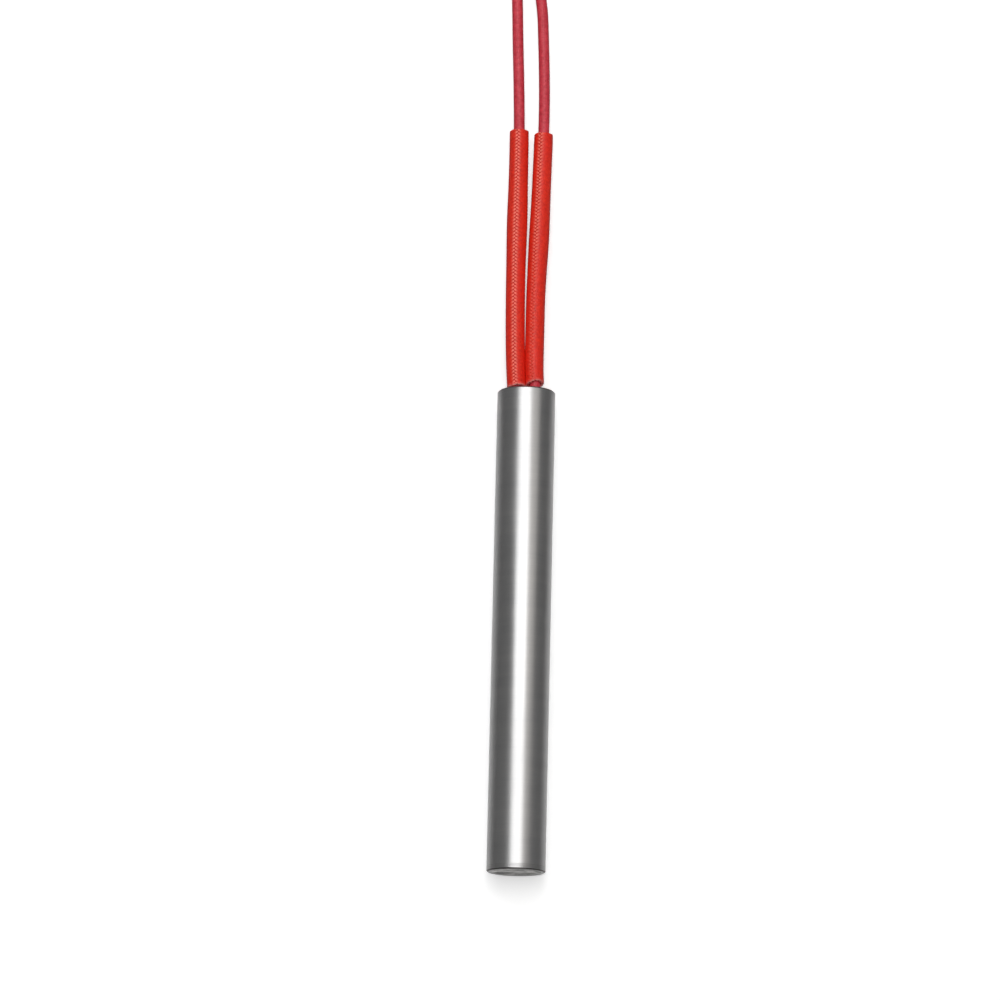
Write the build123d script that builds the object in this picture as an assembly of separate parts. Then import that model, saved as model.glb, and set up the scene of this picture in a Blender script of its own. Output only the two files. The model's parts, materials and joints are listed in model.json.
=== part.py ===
"""Cartridge heater, 12 mm by 100 mm, with two sleeved leads.

The heater lies on a flat surface, with its axis along Y. The closed end points
to -Y and the leads leave the mouth towards +Y. Z is up, and the origin is under
the middle of the sheath, on the surface. Dimensions are in millimetres.
Distances called "depth" are measured from the closed end, along the heater.
"""
from build123d import *
from math import radians, tan
import os

# Sheath
SHEATH_OD = 12.0
SHEATH_LENGTH = 100.0
SHEATH_WALL = 0.9
CLOSED_RIM_CHAMFER = 0.25
MOUTH_RIM_CHAMFER = 0.3
INNER_LIP_CHAMFER = 0.15

# Welded end disc
DISC_RECESS = 0.2
DISC_THICKNESS = 2.2
WELD_WIDTH = 1.2
WELD_RISE = 0.12

# Core, winding and pins
CORE_OD = 7.0
CORE_SEGMENT_LENGTH = 40.0
CORE_SEGMENTS = 2
PIN_OD = 1.5
PIN_OFFSET = 1.95
PIN_SEAT = 2.0
SHORT_PIN_INSIDE_CORE = 19.0
INSULATOR_THICKNESS = 3.0
RIBBON_WIDTH = 1.2
RIBBON_THICKNESS = 0.3
RIBBON_TURNS = 5.5
WINDING_CLEARANCE = 0.015
LEG_INSET = 1.0
LEG_SLOT_WIDTH = 0.6

# Lead end of the heater
MICA_THICKNESS = 0.5
CRIMP_OD = 2.6
CRIMP_LENGTH = 7.1
CONDUCTOR_OD = 1.2
MOUTH_CAP_THICKNESS = 2.3

# Leads and sleeves
LEAD_OD = 2.3
BARE_TIP_LENGTH = 8.0
SLEEVE_OD = 3.85
SLEEVE_SHOULDER = 0.3
LEFT_SLEEVE_SPAN = (50.9, 107.4)
RIGHT_SLEEVE_SPAN = (51.5, 106.8)
ARC_SHARE = 0.45
SURFACE_GAP = 0.02
LAYER_GAP = 0.05
EDGE_TOLERANCE = 0.01

# Hank: the rest of both leads, folded three times and tied in the middle
HANK_LENGTH = 56.1
HANK_HEIGHT = 4.7
HANK_NEAR_Y = 160.0
HANK_CENTRE_X = 3.45
LOOP_OUTER_R = 3 * LEAD_OD + LEAD_OD / 2
OUTER_RUN_OFFSET = 7.8
LOOP_REACH = 9.45
WAIST_HALF_WIDTH = 3.55
WAIST_HALF_LENGTH = 6.0
LOBE_START = 17.0
WAIST_RAISE = 0.95
ARCH_FOOT = 12.0
ARCH_TOP = 4.0
ARCH_RADIUS = 20.0

# Cable tie round the hank's waist
TIE_WIDTH = 2.5
TIE_THICKNESS = 0.9
TIE_CORNER_R = 0.8
TIE_HEAD = (4.2, 3.6, 2.6)
TIE_TAIL_LENGTH = 3.5
TIE_TAIL_SUNK = 0.1

# Worked out from the dimensions above
BORE_R = SHEATH_OD / 2 - SHEATH_WALL
AXIS_Z = SHEATH_OD / 2
CLOSED_END_Y = -SHEATH_LENGTH / 2
END_INSULATOR_START = DISC_RECESS + DISC_THICKNESS
CORE_START = END_INSULATOR_START + INSULATOR_THICKNESS
CORE_END = CORE_START + CORE_SEGMENTS * CORE_SEGMENT_LENGTH
MICA_START = CORE_END + INSULATOR_THICKNESS
CRIMP_START = MICA_START + MICA_THICKNESS
CRIMP_MIDDLE = CRIMP_START + CRIMP_LENGTH / 2
CRIMP_END = CRIMP_START + CRIMP_LENGTH
MOUTH_CAP_END = CRIMP_END + MOUTH_CAP_THICKNESS
RIBBON_INNER_R = CORE_OD / 2 + WINDING_CLEARANCE
RIBBON_OUTER_R = RIBBON_INNER_R + RIBBON_THICKNESS
RIBBON_MIDDLE_R = RIBBON_INNER_R + RIBBON_THICKNESS / 2
WINDING_START = CORE_START + LEG_INSET
WINDING_END = CORE_END - LEG_INSET
LEAD_START_Y = CLOSED_END_Y + CRIMP_END
LEAD_FLOOR_Z = LEAD_OD / 2 + SURFACE_GAP
LEAD_UPPER_Z = LEAD_FLOOR_Z + LEAD_OD + LAYER_GAP
HANK_ENTRY_X = HANK_CENTRE_X - OUTER_RUN_OFFSET
HANK_EXIT_X = HANK_CENTRE_X + OUTER_RUN_OFFSET
HANK_CENTRE_Y = HANK_NEAR_Y + HANK_LENGTH / 2
HANK_FAR_Y = HANK_NEAR_Y + HANK_LENGTH

HEATER_AXIS = Axis((0, 0, AXIS_Z), (0, 1, 0))
HALF_SECTION = Plane((0, 0, AXIS_Z), x_dir=(1, 0, 0), z_dir=(0, 0, 1))

# Each lead's way from its crimp to the hank, chosen by hand: straight out of the
# mouth, straight down to the surface in its stiff sleeve, and along the surface.
# The right lead then climbs onto the left one.
LEFT_ROUTE = [
    (-PIN_OFFSET, LEAD_START_Y, AXIS_Z),
    (-PIN_OFFSET, 57.0, AXIS_Z),
    (-3.05, 118.5, LEAD_FLOOR_Z),
    (-3.70, 136.0, LEAD_FLOOR_Z),
    (HANK_ENTRY_X, 150.0, LEAD_FLOOR_Z),
    (HANK_ENTRY_X, HANK_NEAR_Y, LEAD_FLOOR_Z),
]
RIGHT_ROUTE = [
    (PIN_OFFSET, LEAD_START_Y, AXIS_Z),
    (PIN_OFFSET, 57.0, AXIS_Z),
    (2.45, 118.5, LEAD_FLOOR_Z),
    (1.70, 136.0, LEAD_FLOOR_Z),
    (-0.30, 145.0, 1.90),
    (-3.20, 151.5, 3.45),
    (HANK_ENTRY_X, 156.5, LEAD_UPPER_Z),
    (HANK_ENTRY_X, HANK_NEAR_Y, LEAD_UPPER_Z),
]


def turned(points):
    """A solid turned about the heater's axis, from (radius, depth) points."""
    corners = [(radius, CLOSED_END_Y + depth) for radius, depth in points]
    outline = Polyline(*corners, close=True)
    return revolve(HALF_SECTION * make_face(outline), HEATER_AXIS)


def rod(radius, start, end, x=0.0):
    """A round bar along the heater, between two depths."""
    foot = Plane((x, CLOSED_END_Y + start, AXIS_Z), x_dir=(1, 0, 0), z_dir=(0, 1, 0))
    return extrude(foot * Circle(radius), amount=end - start)


def block(low, high):
    """A box between two opposite corners."""
    middle = [(a + b) / 2 for a, b in zip(low, high)]
    size = [b - a for a, b in zip(low, high)]
    return Pos(*middle) * Box(*size)


def sheath():
    """The drawn steel tube, with a chamfer at each rim."""
    outer = SHEATH_OD / 2
    return turned([
        (BORE_R + INNER_LIP_CHAMFER, 0),
        (outer - CLOSED_RIM_CHAMFER, 0),
        (outer, CLOSED_RIM_CHAMFER),
        (outer, SHEATH_LENGTH - MOUTH_RIM_CHAMFER),
        (outer - MOUTH_RIM_CHAMFER, SHEATH_LENGTH),
        (BORE_R + INNER_LIP_CHAMFER, SHEATH_LENGTH),
        (BORE_R, SHEATH_LENGTH - INNER_LIP_CHAMFER),
        (BORE_R, INNER_LIP_CHAMFER),
    ])


def end_disc():
    """The end disc, with the weld that rises from its face to the sheath's wall."""
    return turned([
        (0, DISC_RECESS),
        (BORE_R - WELD_WIDTH, DISC_RECESS),
        (BORE_R, DISC_RECESS - WELD_RISE),
        (BORE_R, END_INSULATOR_START),
        (0, END_INSULATOR_START),
    ])


def pierced_disc(start, end, hole_r):
    """A disc that fills the bore between two depths, with a hole on each side."""
    body = rod(BORE_R, start, end)
    for x in (-PIN_OFFSET, PIN_OFFSET):
        body -= rod(hole_r, start, end, x)
    return body


def end_insulator():
    """The ceramic disc behind the end disc, with a blind seat for the long pin."""
    body = rod(BORE_R, END_INSULATOR_START, CORE_START)
    return body - rod(PIN_OD / 2, CORE_START - PIN_SEAT, CORE_START, -PIN_OFFSET)


def front_insulator():
    """The ceramic disc at the core's lead end, which both pins go through."""
    return pierced_disc(CORE_END, MICA_START, PIN_OD / 2)


def leg_slot(depth, side):
    """The notch in the core's end that lets the ribbon in to a pin."""
    low_x, high_x = sorted([side * PIN_OFFSET, side * CORE_OD])
    return block(
        (low_x, CLOSED_END_Y + depth - LEG_INSET, AXIS_Z - LEG_SLOT_WIDTH / 2),
        (high_x, CLOSED_END_Y + depth + LEG_INSET, AXIS_Z + LEG_SLOT_WIDTH / 2),
    )


def core_segment(number):
    """One extruded magnesia core piece, with two holes along it."""
    start = CORE_START + (number - 1) * CORE_SEGMENT_LENGTH
    end = start + CORE_SEGMENT_LENGTH
    body = rod(CORE_OD / 2, start, end)
    for x in (-PIN_OFFSET, PIN_OFFSET):
        body -= rod(PIN_OD / 2, start, end, x)
    if number == 1:
        body -= leg_slot(WINDING_START, -1)
    if number == CORE_SEGMENTS:
        body -= leg_slot(WINDING_END, 1)
    return body


def winding_leg(depth, x_outer, x_pin):
    """The ribbon's end, led in to a pin and welded to its side."""
    low_x, high_x = sorted([x_outer, x_pin])
    leg = block(
        (low_x, CLOSED_END_Y + depth - RIBBON_WIDTH / 2, AXIS_Z - RIBBON_THICKNESS / 2),
        (high_x, CLOSED_END_Y + depth + RIBBON_WIDTH / 2, AXIS_Z + RIBBON_THICKNESS / 2),
    )
    return leg - rod(PIN_OD / 2, depth - RIBBON_WIDTH, depth + RIBBON_WIDTH, x_pin)


def resistance_winding():
    """The resistance ribbon, wound along the core from the long to the short pin."""
    height = WINDING_END - WINDING_START
    helix = Helix(pitch=height / RIBBON_TURNS, height=height, radius=RIBBON_MIDDLE_R)
    section_plane = Plane(helix @ 0, x_dir=(1, 0, 0), z_dir=helix % 0)
    section = section_plane * Rectangle(RIBBON_THICKNESS, RIBBON_WIDTH)
    coil = sweep(section, path=helix, is_frenet=True)
    place = Pos(0, CLOSED_END_Y + WINDING_START, AXIS_Z) * Rot(-90, 0, 0) * Rot(0, 0, 180)
    first_leg = winding_leg(WINDING_START, -RIBBON_MIDDLE_R, -PIN_OFFSET)
    last_leg = winding_leg(WINDING_END, RIBBON_MIDDLE_R, PIN_OFFSET)
    return place * coil + first_leg + last_leg


def long_pin():
    """The pin that reaches the far end of the winding."""
    return rod(PIN_OD / 2, CORE_START - PIN_SEAT, CRIMP_MIDDLE, -PIN_OFFSET)


def short_pin():
    """The pin that the winding's near end is welded to."""
    return rod(PIN_OD / 2, CORE_END - SHORT_PIN_INSIDE_CORE, CRIMP_MIDDLE, PIN_OFFSET)


def magnesia_fill():
    """The pressed powder between the winding and the sheath."""
    inner = RIBBON_OUTER_R + WINDING_CLEARANCE
    return rod(BORE_R, CORE_START, CORE_END) - rod(inner, CORE_START, CORE_END)


def mica_washer():
    """The mica disc that closes the powder in."""
    return pierced_disc(MICA_START, CRIMP_START, PIN_OD / 2)


def cement_seal():
    """The cement round the crimps."""
    return pierced_disc(CRIMP_START, CRIMP_END, CRIMP_OD / 2)


def crimp(x):
    """A crimp barrel, half on the pin and half on the lead's conductor."""
    body = rod(CRIMP_OD / 2, CRIMP_START, CRIMP_END, x)
    body -= rod(PIN_OD / 2, CRIMP_START, CRIMP_MIDDLE, x)
    return body - rod(CONDUCTOR_OD / 2, CRIMP_MIDDLE, CRIMP_END, x)


def conductor(x):
    """The stripped end of a lead's stranded conductor, inside its crimp."""
    return rod(CONDUCTOR_OD / 2, CRIMP_MIDDLE, CRIMP_END, x)


def mouth_cap():
    """The plug just inside the mouth, which the leads come out of."""
    return pierced_disc(CRIMP_END, MOUTH_CAP_END, LEAD_OD / 2)


def corner_radii(points):
    """The largest arc at each corner that its two runs leave room for."""
    radii = []
    for before, corner, after in zip(points, points[1:], points[2:]):
        run_in = Vector(corner) - Vector(before)
        run_out = Vector(after) - Vector(corner)
        half_turn = radians(run_in.get_angle(run_out)) / 2
        radii.append(ARC_SHARE * min(run_in.length, run_out.length) / tan(half_turn))
    return radii


def along(points, diameter):
    """A round solid of one diameter along a route with rounded corners."""
    path = FilletPolyline(*points, radius=corner_radii(points))
    section = Plane(path @ 0, z_dir=path % 0) * Circle(diameter / 2)
    return sweep(section, path=path)


def lead(points):
    """A lead's insulation, from its crimp to the hank."""
    return along(points, LEAD_OD)


def sleeve(points, span):
    """The braided sleeve over a lead, cut square at both ends."""
    start, end = span
    reach = SHEATH_OD
    slab = block((-reach, start, -reach), (reach, end, reach + AXIS_Z))
    body = along(points, SLEEVE_OD) & slab
    ends = [edge for edge in body.edges() if abs(edge.center().Y - end) < EDGE_TOLERANCE]
    return chamfer(ends, SLEEVE_SHOULDER) - along(points, LEAD_OD)


def hank_plan():
    """The hank's outline from above, about its centre: two lobes and a waist."""
    half = HANK_LENGTH / 2
    run_edge = OUTER_RUN_OFFSET + LEAD_OD / 2
    side = [
        (-run_edge, -half),
        (-run_edge, -LOBE_START),
        (-WAIST_HALF_WIDTH, -WAIST_HALF_LENGTH),
        (-WAIST_HALF_WIDTH, WAIST_HALF_LENGTH),
        (-LOOP_REACH, LOBE_START),
        (-LOOP_REACH, half),
    ]
    other_side = [(-x, -y) for x, y in side]
    outline = make_face(Polyline(*side, *other_side, close=True))
    bends = [v for v in outline.vertices() if abs(v.Y) < half - EDGE_TOLERANCE]
    outline = fillet(bends, WAIST_HALF_LENGTH)
    ends = [v for v in outline.vertices() if abs(v.Y) > half - EDGE_TOLERANCE]
    loop_corners = [v for v in ends if v.X * v.Y < 0]
    return fillet(loop_corners, LOOP_OUTER_R)


def hank_side():
    """The hank's outline from the side, arched up at the waist for the tie."""
    half = HANK_LENGTH / 2
    bottom = [
        (-half, 0),
        (-ARCH_FOOT, 0),
        (-ARCH_TOP, WAIST_RAISE),
        (ARCH_TOP, WAIST_RAISE),
        (ARCH_FOOT, 0),
        (half, 0),
    ]
    top = [(y, z + HANK_HEIGHT) for y, z in reversed(bottom)]
    outline = make_face(Polyline(*bottom, *top, close=True))
    bends = [v for v in outline.vertices() if abs(v.X) < half - EDGE_TOLERANCE]
    return fillet(bends, ARCH_RADIUS)


def lead_hank():
    """The outer shape of the folded leads, as one solid."""
    centre = Pos(HANK_CENTRE_X, HANK_CENTRE_Y, 0)
    from_above = extrude(centre * hank_plan(), amount=HANK_HEIGHT + WAIST_RAISE)
    side_plane = Plane((0, HANK_CENTRE_Y, 0), x_dir=(0, 1, 0), z_dir=(1, 0, 0))
    from_side = extrude(side_plane * hank_side(), amount=HANK_LENGTH, both=True)
    return from_above & from_side


def hank_tie():
    """The cable tie round the waist, with its head and cut tail on top."""
    inner_width = 2 * WAIST_HALF_WIDTH
    outer_width = inner_width + 2 * TIE_THICKNESS
    outer_height = HANK_HEIGHT + 2 * TIE_THICKNESS
    middle_z = WAIST_RAISE + HANK_HEIGHT / 2
    plane = Plane(
        (HANK_CENTRE_X, HANK_CENTRE_Y, middle_z), x_dir=(1, 0, 0), z_dir=(0, 1, 0)
    )
    ring = RectangleRounded(outer_width, outer_height, TIE_CORNER_R)
    ring -= Rectangle(inner_width, HANK_HEIGHT)
    band = extrude(plane * ring, amount=TIE_WIDTH / 2, both=True)
    head_x, head_y, head_z = TIE_HEAD
    top_z = middle_z + outer_height / 2
    head_centre = HANK_CENTRE_X + inner_width / 4
    head = Pos(head_centre, HANK_CENTRE_Y, top_z - TIE_THICKNESS + head_z / 2) * Box(*TIE_HEAD)
    head = fillet(head.edges().filter_by(Axis.Z), TIE_CORNER_R)
    tail_start = head_centre + head_x / 2
    tail = block(
        (tail_start - TIE_TAIL_SUNK, HANK_CENTRE_Y - TIE_WIDTH / 2, top_z),
        (tail_start + TIE_TAIL_LENGTH, HANK_CENTRE_Y + TIE_WIDTH / 2, top_z + TIE_THICKNESS),
    )
    return band + head + tail


def bare_tip(z):
    """A lead's stripped and tinned end, pointing out of the hank."""
    foot = Plane((HANK_EXIT_X, HANK_FAR_Y, z), x_dir=(1, 0, 0), z_dir=(0, 1, 0))
    return extrude(foot * Circle(CONDUCTOR_OD / 2), amount=BARE_TIP_LENGTH)


def build_nodes():
    """Every sub-part by its name."""
    nodes = {"sheath": sheath(), "end_disc": end_disc(), "end_insulator": end_insulator()}
    for number in range(1, CORE_SEGMENTS + 1):
        nodes[f"core_segment_{number}"] = core_segment(number)
    nodes["resistance_winding"] = resistance_winding()
    nodes["long_pin"] = long_pin()
    nodes["short_pin"] = short_pin()
    nodes["magnesia_fill"] = magnesia_fill()
    nodes["front_insulator"] = front_insulator()
    nodes["mica_washer"] = mica_washer()
    nodes["cement_seal"] = cement_seal()
    for side, x in (("left", -PIN_OFFSET), ("right", PIN_OFFSET)):
        nodes[f"crimp_{side}"] = crimp(x)
        nodes[f"conductor_{side}"] = conductor(x)
    nodes["mouth_cap"] = mouth_cap()
    nodes["lead_left"] = lead(LEFT_ROUTE)
    nodes["lead_right"] = lead(RIGHT_ROUTE)
    nodes["sleeve_left"] = sleeve(LEFT_ROUTE, LEFT_SLEEVE_SPAN)
    nodes["sleeve_right"] = sleeve(RIGHT_ROUTE, RIGHT_SLEEVE_SPAN)
    nodes["lead_hank"] = lead_hank()
    nodes["hank_tie"] = hank_tie()
    nodes["bare_tip_left"] = bare_tip(LEAD_FLOOR_Z)
    nodes["bare_tip_right"] = bare_tip(LEAD_UPPER_Z)
    return nodes


def main():
    os.makedirs("parts", exist_ok=True)
    for name, shape in build_nodes().items():
        export_step(shape, f"parts/{name}.step")
    for name, points in (("left", LEFT_ROUTE), ("right", RIGHT_ROUTE)):
        radii = ", ".join(f"{radius:.0f}" for radius in corner_radii(points))
        print(f"{name} lead: corner radii {radii} mm")


if __name__ == "__main__":
    main()
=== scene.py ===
"""Dresses a cartridge heater: ground steel sheath, welded end, braided sleeves and leads.

Everything is in metres, in the heater's own frame: the heater lies along Y with its
closed end at -Y and its mouth at +Y, and Z is up from the surface that it lies on.
"""

import json
import math

import bmesh
import bpy
import numpy as np
from mathutils import Matrix, Vector

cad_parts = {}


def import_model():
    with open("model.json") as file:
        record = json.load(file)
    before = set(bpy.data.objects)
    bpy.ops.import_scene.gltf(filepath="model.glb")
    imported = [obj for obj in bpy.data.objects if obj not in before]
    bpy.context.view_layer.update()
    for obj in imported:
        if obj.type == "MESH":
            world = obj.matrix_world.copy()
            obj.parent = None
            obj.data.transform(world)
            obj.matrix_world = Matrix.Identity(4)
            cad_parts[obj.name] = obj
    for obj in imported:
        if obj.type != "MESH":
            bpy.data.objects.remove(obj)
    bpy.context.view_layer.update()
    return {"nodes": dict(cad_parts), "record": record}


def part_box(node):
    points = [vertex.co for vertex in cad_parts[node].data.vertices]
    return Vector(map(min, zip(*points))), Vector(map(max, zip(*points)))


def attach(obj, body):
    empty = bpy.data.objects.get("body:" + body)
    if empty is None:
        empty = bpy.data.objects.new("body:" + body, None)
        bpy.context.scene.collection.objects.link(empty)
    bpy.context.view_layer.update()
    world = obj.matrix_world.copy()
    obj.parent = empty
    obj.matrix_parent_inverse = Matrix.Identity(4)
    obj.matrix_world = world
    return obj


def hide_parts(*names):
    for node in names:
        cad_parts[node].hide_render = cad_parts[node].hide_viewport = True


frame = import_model()

# Dimensions

sheath_low, sheath_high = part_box("sheath")
disc_low, disc_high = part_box("end_disc")
tip_low, tip_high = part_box("bare_tip_left")

AXIS_Z = (sheath_low[2] + sheath_high[2]) / 2
SHEATH_R = (sheath_high[0] - sheath_low[0]) / 2
BORE_R = (disc_high[0] - disc_low[0]) / 2
CLOSED_Y = sheath_low[1]
MOUTH_Y = sheath_high[1]
DISC_BACK_Y = disc_high[1]

# Sheath
CLOSED_RIM_CHAMFER = 0.00025
MOUTH_RIM_CHAMFER = 0.0003
INNER_LIP_CHAMFER = 0.00015
TURNED_LINE_DEPTHS = (0.00052, 0.00076, 0.00104)
TURNED_LINE_WIDTH = 0.00012
TURNED_LINE_DEPTH = 0.00002
TURNED_LINE_REACH = 0.0005
EDGE_ROUNDING = 0.00004
SUPPORT_GAP = 0.00006
CORNER_SHARE = 0.4
SUPPORT_SHARE = 0.45
SHEATH_SEGMENTS = 192

# How much the painted dark reflection on the edges covers the mouth's chamfer and the turned lines
MOUTH_EDGE_SHARE = 0.55
TURNED_LINE_SHARE = 0.3

# End disc and its weld
DISC_RECESS = 0.0002
WELD_WIDTH = 0.0012
WELD_RISE = 0.00012
WELD_CROWN = 0.00005
WELD_RIPPLES = 46
WELD_RIPPLE_HEIGHT = 0.00005
WELD_RIPPLE_SWEEP = 1.3
DISC_SEGMENTS = 368
WELD_ROWS = 25
FACING_RINGS = 14
FACING_HEIGHT = 0.000006
FACING_ROWS = 48
DISC_HUB = 0.02
DISC_SUPPORT = 0.6
HEAT_START = 0.0006
HEAT_WIDTH = 0.0010

# Leads
LEAD_R = 0.00115
LEAD_SIDES = 32
LEAD_ROW = 0.0005
LEAD_EDGE = 0.0002
LEAD_OFFSET = 0.00195
LEAD_WEAVE_TURNS = 12
LEAD_WEAVE_PER_MM = 1.35
LEFT_LEVEL = 0.00117
RIGHT_LEVEL = 0.00352
ROUTE_STEPS = 40
OUTWARD_STRETCH = 0.09

# Each lead's way from its crimp to the hank: out of the mouth, down to the surface in
# its sleeve, and along the surface. The right lead then climbs onto the left one.
LEFT_ROUTE = [
    (-LEAD_OFFSET, 0.0460, 0.00600),
    (-0.00197, 0.0492, 0.00600),
    (-0.00235, 0.0545, 0.00600),
    (-0.00262, 0.0620, 0.00560),
    (-0.00280, 0.0740, 0.00470),
    (-0.00274, 0.0860, 0.00375),
    (-0.00267, 0.0980, 0.00285),
    (-0.00270, 0.1080, 0.00215),
    (-0.00302, 0.1185, 0.00135),
    (-0.00340, 0.1270, 0.00117),
    (-0.00370, 0.1360, 0.00117),
    (-0.00435, 0.1500, 0.00117),
    (-0.00435, 0.1600, 0.00117),
]
RIGHT_ROUTE = [
    (LEAD_OFFSET, 0.0460, 0.00600),
    (0.00193, 0.0492, 0.00600),
    (0.00145, 0.0545, 0.00600),
    (0.00145, 0.0620, 0.00560),
    (0.00147, 0.0720, 0.00485),
    (0.00195, 0.0840, 0.00390),
    (0.00222, 0.0960, 0.00295),
    (0.00250, 0.1090, 0.00205),
    (0.00240, 0.1185, 0.00135),
    (0.00205, 0.1270, 0.00117),
    (0.00162, 0.1360, 0.00117),
    (-0.00030, 0.1450, 0.00190),
    (-0.00320, 0.1515, 0.00345),
    (-0.00435, 0.1565, 0.00352),
    (-0.00435, 0.1600, 0.00352),
]

# Hank: three runs and two loops, about its middle
HANK_X, HANK_Y = 0.00345, 0.18805
HANK_HALF = 0.02805
OUTER_RUN = 0.0078
LOOP_SIDE = 0.0083
INNER_RUN = 0.0055
WAIST_PITCH = 0.0024
LOOP_R = 0.0069
LOOP_CENTRE = (0.0014, 0.020)
LOOP_POINTS = 7
RUN_STEP = 0.004
OUTER_FLARE = (0.003, 0.017)
INNER_FLARE = (0.005, 0.018)
WAIST_RAISE = 0.00095
ARCH = (0.004, 0.012)

# Braid of the sleeves: each strand goes over two and under two
STRANDS = 12
BRAID_LAY = 0.00908
BRAID_RELIEF = 0.00018
COATED_RELIEF = 0.4
FACE_RELIEF = 0.2
OVER_UNDER_WAVE = 1.4
OVER_UNDER_RISE = 0.5

# Sleeves
SLEEVE_SIDES = 156
SLEEVE_ROWS = 580
SLEEVE_INNER_ROWS = 12
SLEEVE_BORE_R = 0.00150
SLEEVE_THROAT_R = 0.00123
SLEEVE_THROAT_REACH = 0.003
SLEEVE_THROAT_ROWS = 6
SLEEVE_LIP_ROWS = 7
SLEEVE_FACE_ROWS = 3
SLEEVE_NEAR_LIP = 0.00026
BULGE = 0.00014
BULGE_SPREAD = 0.0075
NECK = 0.00006
NECK_SPREAD = 0.006
CURL_REACH = 0.002
SLANT_REACH = 0.004
CREASE_WIDTH = math.radians(13)

# Between these lengths from the mouth the crease's painted highlight and painted shade, faint at
# first, come up to full strength
CREASE_FADE = (0.018, 0.036)

# Cut ends of the sleeves: waves of the fray as count, size and phase, and the
# shares of the cut colour on the outside and at the far end
CUT_REACH = 0.0012
FRAY_WAVES = ((3, 0.4, 0.7), (7, 0.3, 2.1), (14, 0.3, 0.2), (23, 0.2, 4.0))
CUT_FACE_GAP = 0.00002
CUT_OUTSIDE_SHARE = 0.3
CUT_FAR_SHARE = 0.027

# What differs between the two sleeves. A turn is an angle from the top towards +X, and
# near is the end at the mouth.
LEFT_SLEEVE = {
    "radius": 0.00202,
    "bulge_y": 0.0872,
    "curl": 0.0,
    "far_lip": 0.00010,
    "near_fray": 0.00008,
    "far_fray": 0.00006,
    "slant": 0.0003,
    "slant_turn": math.radians(20),
    "set_back": 0.0,
    "crease_turn": math.radians(-9),
    "crease_near": 1.0,
    "braid_turn": math.radians(-1.5),
}
RIGHT_SLEEVE = {
    "radius": 0.00199,
    "bulge_y": 0.0835,
    "curl": 0.00002,
    "far_lip": 0.00012,
    "near_fray": 0.00012,
    "far_fray": 0.00010,
    "slant": 0.00048,
    "slant_turn": math.radians(12),
    "set_back": 0.00016,
    "crease_turn": math.radians(-19.3),
    "crease_near": 0.35,
    "braid_turn": math.radians(-41.8),
}

# Cable tie round the hank's waist
TIE_WIDTH = 0.0025
TIE_THICKNESS = 0.0009
TIE_INNER = (0.0071, 0.0047)
TIE_CORNER = 0.0008
TIE_CORNER_POINTS = 9
TIE_BAND_EDGE = 0.00015
TIE_HEAD = (0.0042, 0.0036, 0.0026)
TIE_HEAD_EDGE = 0.0004
TIE_HEAD_EDGE_STEPS = 4
TIE_WINDOW_WALL = 0.0009
TIE_WINDOW_DEPTH = 0.0012
TIE_TAIL = 0.0035
TIE_TAIL_SUNK = 0.0001
TIE_TAIL_INSET = 0.0002
TIE_TAIL_GAP = 0.00002
TIE_TOOTH = 0.00045
TIE_TOOTH_HEIGHT = 0.00018
TIE_TOOTH_TIP = 0.15
TIE_TOOTH_FOOT = 0.95
TIE_SHARP_ANGLE = math.radians(40)
TIE_AXIS_Z = WAIST_RAISE + TIE_INNER[1] / 2
TIE_TOP = TIE_AXIS_Z + TIE_INNER[1] / 2 + TIE_THICKNESS
TIE_HEAD_X = HANK_X + TIE_INNER[0] / 4

# Bare tips: one strand with the others twisted round it
TIP_STRANDS = 7
STRAND_R = 0.0002
STRAND_OVERLAP = 1.04
STRAND_LAY = 0.013
STRAND_ROWS = 41
STRAND_SIDES = 14
STRAND_END = (0.95, 0.7)
TIP_CUT = 0.00005

# Shaders


class Shader:
    """A node tree that gets one call for each node."""

    def __init__(self, tree):
        self.tree = tree

    def add(self, kind, inputs=(), **settings):
        """A new node, with its settings and its inputs."""
        node = self.tree.nodes.new("ShaderNode" + kind)
        for name, value in settings.items():
            setattr(node, name, value)
        for name, value in dict(inputs).items():
            self.feed(node.inputs[name], value)
        return node

    def feed(self, socket, value):
        """Sets a socket, or links it where the value is another socket."""
        if isinstance(value, bpy.types.NodeSocket):
            self.tree.links.new(value, socket)
        else:
            socket.default_value = value

    def math(self, operation, first, second=0.0):
        """The result of one sum."""
        node = self.add("Math", {0: first, 1: second}, operation=operation)
        return node.outputs[0]

    def vector(self, operation, first, second=(0.0, 0.0, 0.0)):
        """The result of one sum on vectors."""
        node = self.add("VectorMath", {0: first, 1: second}, operation=operation)
        return node.outputs["Value" if operation == "LENGTH" else "Vector"]

    def remap(self, value, low, high, to_low=0.0, to_high=1.0):
        """A value carried from one range to another, and held within it."""
        sockets = {
            "Value": value,
            "From Min": low,
            "From Max": high,
            "To Min": to_low,
            "To Max": to_high,
        }
        return self.add("MapRange", sockets).outputs[0]

    def mix(self, share, first, second):
        """A share of the second colour over the first."""
        node = self.add("Mix", {0: share, 6: first, 7: second}, data_type="RGBA")
        return node.outputs[2]

    def grain(self, per_mm, detail=3.0, roughness=0.55):
        """Noise with so many features a millimetre along X, Y and Z."""
        place = self.add("TexCoord").outputs["Object"]
        scale = [1000 * n for n in per_mm]
        placed = self.add("Mapping", {"Vector": place, "Scale": scale})
        sockets = {
            "Vector": placed.outputs[0],
            "Scale": 1.0,
            "Detail": detail,
            "Roughness": roughness,
        }
        return self.add("TexNoise", sockets).outputs[0]

    def attribute(self, name):
        """The value that a mesh holds at each point under a name."""
        return self.add("Attribute", attribute_name=name).outputs["Fac"]

    def bump(self, height, distance):
        """A normal that leans with a height of so many metres."""
        sockets = {"Height": height, "Distance": distance, "Strength": 1.0}
        return self.add("Bump", sockets).outputs[0]


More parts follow.
